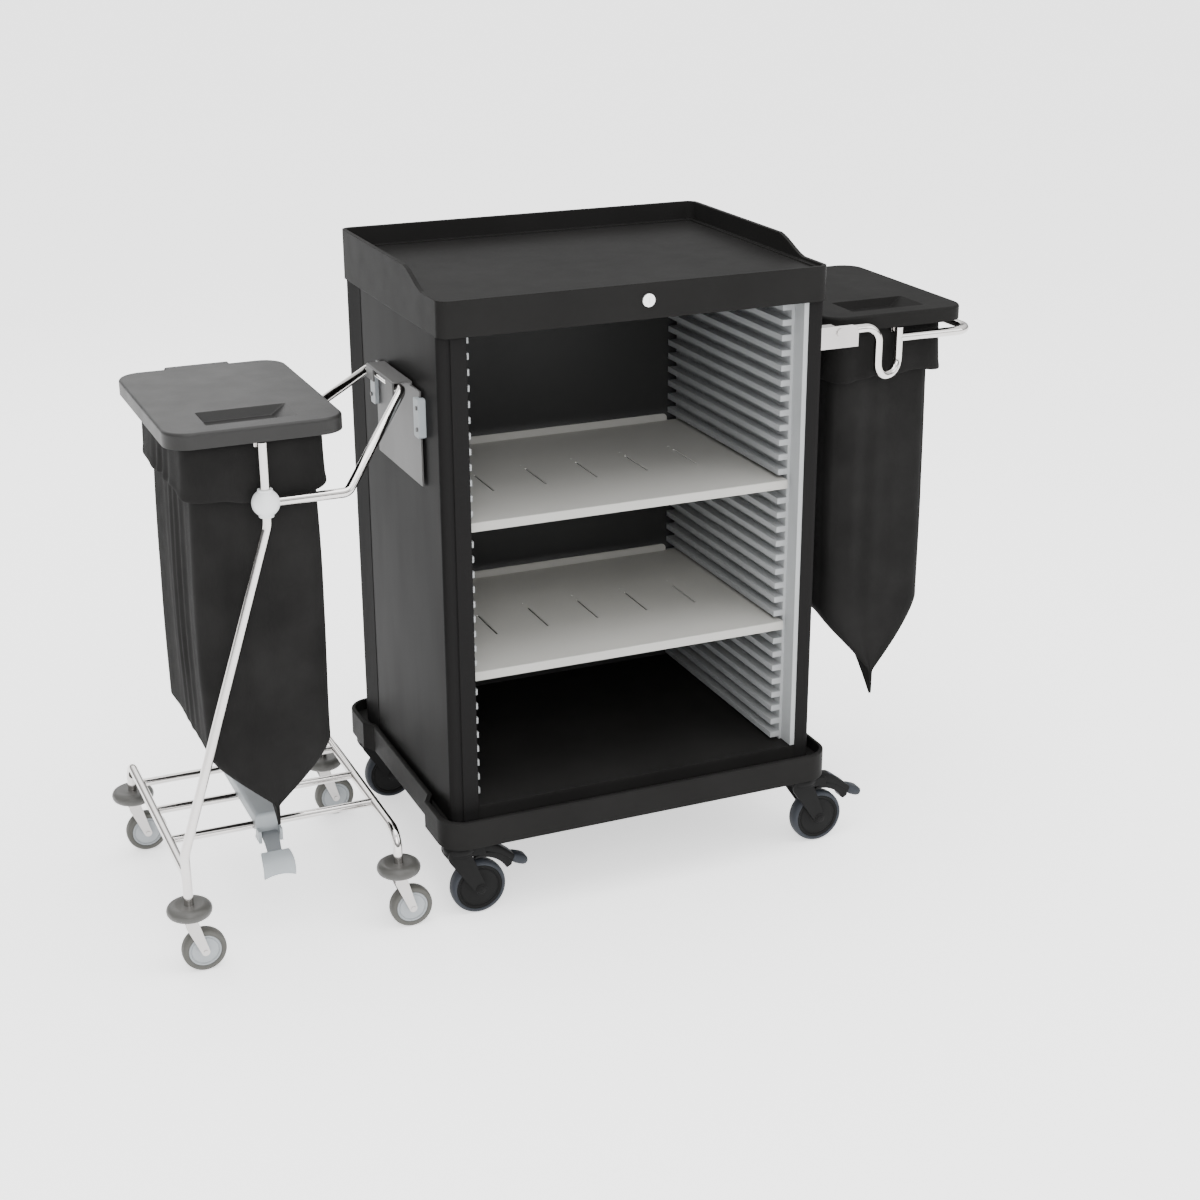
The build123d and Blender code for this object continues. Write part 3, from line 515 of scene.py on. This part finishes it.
def plan_points(hx, hy, r, count):
    """Points round a rounded rectangle, evenly spaced, with their outward directions."""
    bend = math.pi * r / 2
    runs = [(2 * (hy - r), "x+"), (bend, "c0"), (2 * (hx - r), "y+"), (bend, "c1"),
            (2 * (hy - r), "x-"), (bend, "c2"), (2 * (hx - r), "y-"), (bend, "c3")]
    total = sum(length for length, _ in runs)
    out = []
    for k in range(count):
        s = (k + 0.5) / count * total
        for length, tag in runs:
            if s <= length:
                break
            s -= length
        if tag == "x+":
            p, n = (hx, -hy + r + s), (1, 0)
        elif tag == "y+":
            p, n = (hx - r - s, hy), (0, 1)
        elif tag == "x-":
            p, n = (-hx, hy - r - s), (-1, 0)
        elif tag == "y-":
            p, n = (-hx + r + s, -hy), (0, -1)
        else:
            q = int(tag[1])
            a = q * math.pi / 2 + s / r
            cx, cy = [(hx - r, hy - r), (-hx + r, hy - r), (-hx + r, -hy + r), (hx - r, -hy + r)][q]
            n = (math.cos(a), math.sin(a))
            p = (cx + r * n[0], cy + r * n[1])
        out.append((p, n, (k + 0.5) / count))
    return out


def pleats(u, seed):
    """Soft upright folds, close together near the corners and broad on the flat faces."""
    corners = (0.155, 0.345, 0.655, 0.845)
    near = max(math.exp(-((u - c) / 0.055) ** 2) for c in corners)
    tight = math.sin(2 * math.pi * 23 * u + 2.0 * math.sin(9 * u + seed) + seed)
    broad = math.sin(2 * math.pi * 7 * u + 1.3 * math.sin(5 * u + 2 * seed))
    return near * tight * 0.0030 + (1 - near) * broad * 0.0016


def bag_body(name, node, body, cx, cy, top, shoulder, bottom, seed):
    """Hanging cloth: pleated walls down to the shoulder, then closing onto one seam below."""
    hy = BAG_HALF_Y
    ring = plan_points(BAG_HALF_X, hy, BAG_CORNER, BAG_POINTS)
    rise = shoulder - 0.018 - bottom
    rows = []
    wall_rows = 46
    for j in range(wall_rows + 1):
        f = j / wall_rows
        z = top + (shoulder - top) * f
        # folds deepen below the cuff, and flatten again towards the shoulder
        fold = (0.25 + 0.75 * min(1.0, f * 2.2)) * (1 - 0.75 * max(0.0, (f - 0.7) / 0.3) ** 1.5)
        belly = 0.006 * math.sin(math.pi * min(1.0, f * 1.02)) ** 1.2
        row = []
        for (px, py), (nx, ny), u in ring:
            d = pleats(u, seed) * fold
            d += 0.0030 * noise.noise(Vector((px * 9, py * 9, z * 3.2 + seed)))
            d += belly * (0.8 if abs(nx) > 0.7 else 0.45)
            d += 0.004 * max(0.0, f - 0.55) / 0.45
            row.append((cx + px + nx * d, cy + py + ny * d, z))
        rows.append(row)
    foot_rows = 30
    last = rows[-1]
    for j in range(1, foot_rows + 1):
        w = j / foot_rows
        g = max(0.0, 1 - (w / 0.76) ** 1.6)        # share of the width that is left
        row = []
        for (x, y, z), (_, (nx, ny), u) in zip(last, ring):
            back = min(1.0, max(0.0, (y - cy + hy) / (2 * hy)))        # 0 in front, 1 behind
            seam = bottom + 0.91 * rise * (1 - (1 - back) ** 2.6)
            side = x - cx
            thin = math.copysign(0.0016, side) * (1 - g)
            pull = 1 - 0.05 * w * w * (1 if y > cy else 0.25)
            crease = 0.0022 * math.sin(31 * u * math.pi + seed) * math.sin(math.pi * w) * (1 - w)
            row.append((cx + side * g + thin + nx * crease,
                        cy + (y - cy) * pull + ny * crease * 0.5,
                        z + (seam - z) * w ** 1.06))
        rows.append(row)
    obj = grid_shell(name, rows, body, "bag_black")
    modify(obj, "SOLIDIFY", thickness=0.0012, offset=-1.0)
    modify(obj, "SUBSURF", levels=0, render_levels=1)
    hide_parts(node)


def bag_cuff(name, body, cx, cy, ring_z, hem, seed):
    """Top of the bag turned over the ring, hanging outside it to a sewn hem."""
    # (distance out, height) over the ring; the rows below have no fixed height
    profile = [(-0.0095, ring_z - 0.030), (-0.0085, ring_z - 0.006), (-0.0040, ring_z + 0.0058),
               (0.0030, ring_z + 0.0062), (0.0072, ring_z + 0.0005), (0.0080, ring_z - 0.012)]
    over = len(profile)
    rows = []
    ring = plan_points(CUFF_HALF_X, CUFF_HALF_Y, CUFF_CORNER, BAG_POINTS)

    def wavy(u):
        return (0.0042 * math.sin(2 * math.pi * 3 * u + seed)
                + 0.0024 * math.sin(2 * math.pi * 11 * u + 2 * seed))

    drop = 12
    for j in range(drop + 1):
        profile.append((0.0080 + 0.0030 * (j / drop) ** 1.5, None))
    for index, (out, z) in enumerate(profile):
        row = []
        for (px, py), (nx, ny), u in ring:
            f = 0.0
            zz = z
            if z is None:
                f = (index - over) / drop
                zz = (ring_z - 0.016) + (hem + wavy(u) - ring_z + 0.016) * f
            d = out + pleats(u + 0.011, seed + 1.7) * (0.3 + 0.8 * f)
            if f > 0.90:
                d += 0.0011        # the hem is doubled cloth
            row.append((cx + px + nx * d, cy + py + ny * d, zz))
        rows.append(row)
    obj = grid_shell(name, rows, body, "bag_black")
    modify(obj, "SOLIDIFY", thickness=0.0016, offset=0.0)
    modify(obj, "SUBSURF", levels=0, render_levels=1)


for side, body, seed in (("left", "trolley", 0.7), ("right", "holder", 2.9)):
    ring_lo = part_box(side + "_ring")[0]
    bag_lo, bag_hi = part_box(side + "_bag")
    cx = (bag_lo.x + bag_hi.x) / 2
    cy = (bag_lo.y + bag_hi.y) / 2
    ring_z = ring_lo.z + 0.005
    lid_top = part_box(side + "_lid")[1].z
    bag_body(side + "_bag_cloth", side + "_bag", body, cx, cy, ring_z - 0.004,
             bag_hi.z - BAG_TO_SHOULDER, bag_lo.z, seed)
    bag_cuff(side + "_bag_cuff", body, cx, cy, ring_z, lid_top - LID_TO_HEM, seed)


# ---------------------------------------------------------------- floor, lights, camera

def look_axes(azimuth, elevation, roll):
    """Right, up and backward directions of a camera, from angles in degrees."""
    a, e, r = (math.radians(v) for v in (azimuth, elevation, roll))
    back = Vector((math.sin(a) * math.cos(e), -math.cos(a) * math.cos(e), math.sin(e)))
    right = Vector((math.cos(a), math.sin(a), 0.0))
    up = back.cross(right)
    c, s = math.cos(r), math.sin(r)
    return c * right + s * up, -s * right + c * up, back


def place_camera():
    """The photo's view, solved from the cabinet's straight edges."""
    data = bpy.data.cameras.new("camera")
    data.lens = 60.38
    data.sensor_width = 36.0
    cam = bpy.data.objects.new("camera", data)
    right, up, back = look_axes(-23.44, 20.88, -0.16)
    rot = Matrix((right, up, back)).transposed().to_4x4()
    cam.matrix_world = Matrix.Translation((-1.2777, -3.2085, 1.7790)) @ rot
    bpy.context.scene.collection.objects.link(cam)
    bpy.context.scene.camera = cam


def area(name, place, target, size, power):
    """Rectangular lamp at place, turned towards target."""
    data = bpy.data.lights.new(name, "AREA")
    data.shape = "RECTANGLE"
    data.size, data.size_y = size
    data.energy = power
    obj = bpy.data.objects.new(name, data)
    direction = Vector(target) - Vector(place)
    obj.matrix_world = (Matrix.Translation(place)
                        @ direction.to_track_quat("-Z", "Y").to_matrix().to_4x4())
    bpy.context.scene.collection.objects.link(obj)


def paper_floor():
    mesh = bpy.data.meshes.new("floor")
    reach = 60.0
    mesh.from_pydata([(-reach, -reach, 0), (reach, -reach, 0), (reach, reach, 0), (-reach, reach, 0)],
                     [], [(0, 1, 2, 3)])
    floor = bpy.data.objects.new("floor", mesh)
    bpy.context.scene.collection.objects.link(floor)
    m = Mat("floor_paper", 0.9, spec=0.1)
    m.color(m.noise(0.6, 2.0), [(0.3, (0.94, 0.94, 0.94)), (0.7, (0.96, 0.96, 0.96))])
    m.b.inputs["Emission Color"].default_value = (1, 1, 1, 1)
    m.b.inputs["Emission Strength"].default_value = 1.1
    mesh.materials.append(m.m)


def studio_sky():
    """Dark at the horizon and bright overhead, so tubes and edges show a dark side."""
    world = bpy.data.worlds.new("studio")
    world.use_nodes = True
    t = world.node_tree
    up = t.nodes.new("ShaderNodeSeparateXYZ")
    t.links.new(t.nodes.new("ShaderNodeTexCoord").outputs["Generated"], up.inputs["Vector"])
    sky = t.nodes.new("ShaderNodeValToRGB")
    levels = ((0.0, 0.05), (0.12, 0.10), (0.30, 0.50), (1.0, 1.0))
    el = sky.color_ramp.elements
    while len(el) < len(levels):
        el.new(0.5)
    for e, (pos, level) in zip(el, levels):
        e.position = pos
        e.color = (level, level, level, 1.0)
    t.links.new(up.outputs["Z"], sky.inputs["Fac"])
    t.links.new(sky.outputs["Color"], t.nodes["Background"].inputs["Color"])
    t.nodes["Background"].inputs["Strength"].default_value = 2.4
    bpy.context.scene.world = world


def lamps():
    area("key", (-1.2, -4.4, 2.9), (0, 0, 0.6), (2.4, 2.4), 110)
    area("fill", (3.2, -2.6, 2.4), (0, 0, 0.6), (2.2, 2.2), 40)
    area("top", (0.0, -0.6, 3.8), (0, 0, 0.6), (3.0, 3.0), 90)
    area("rim", (-0.8, 3.4, 2.6), (0, 0, 0.8), (3.0, 2.0), 30)


paper_floor()
studio_sky()
lamps()
place_camera()
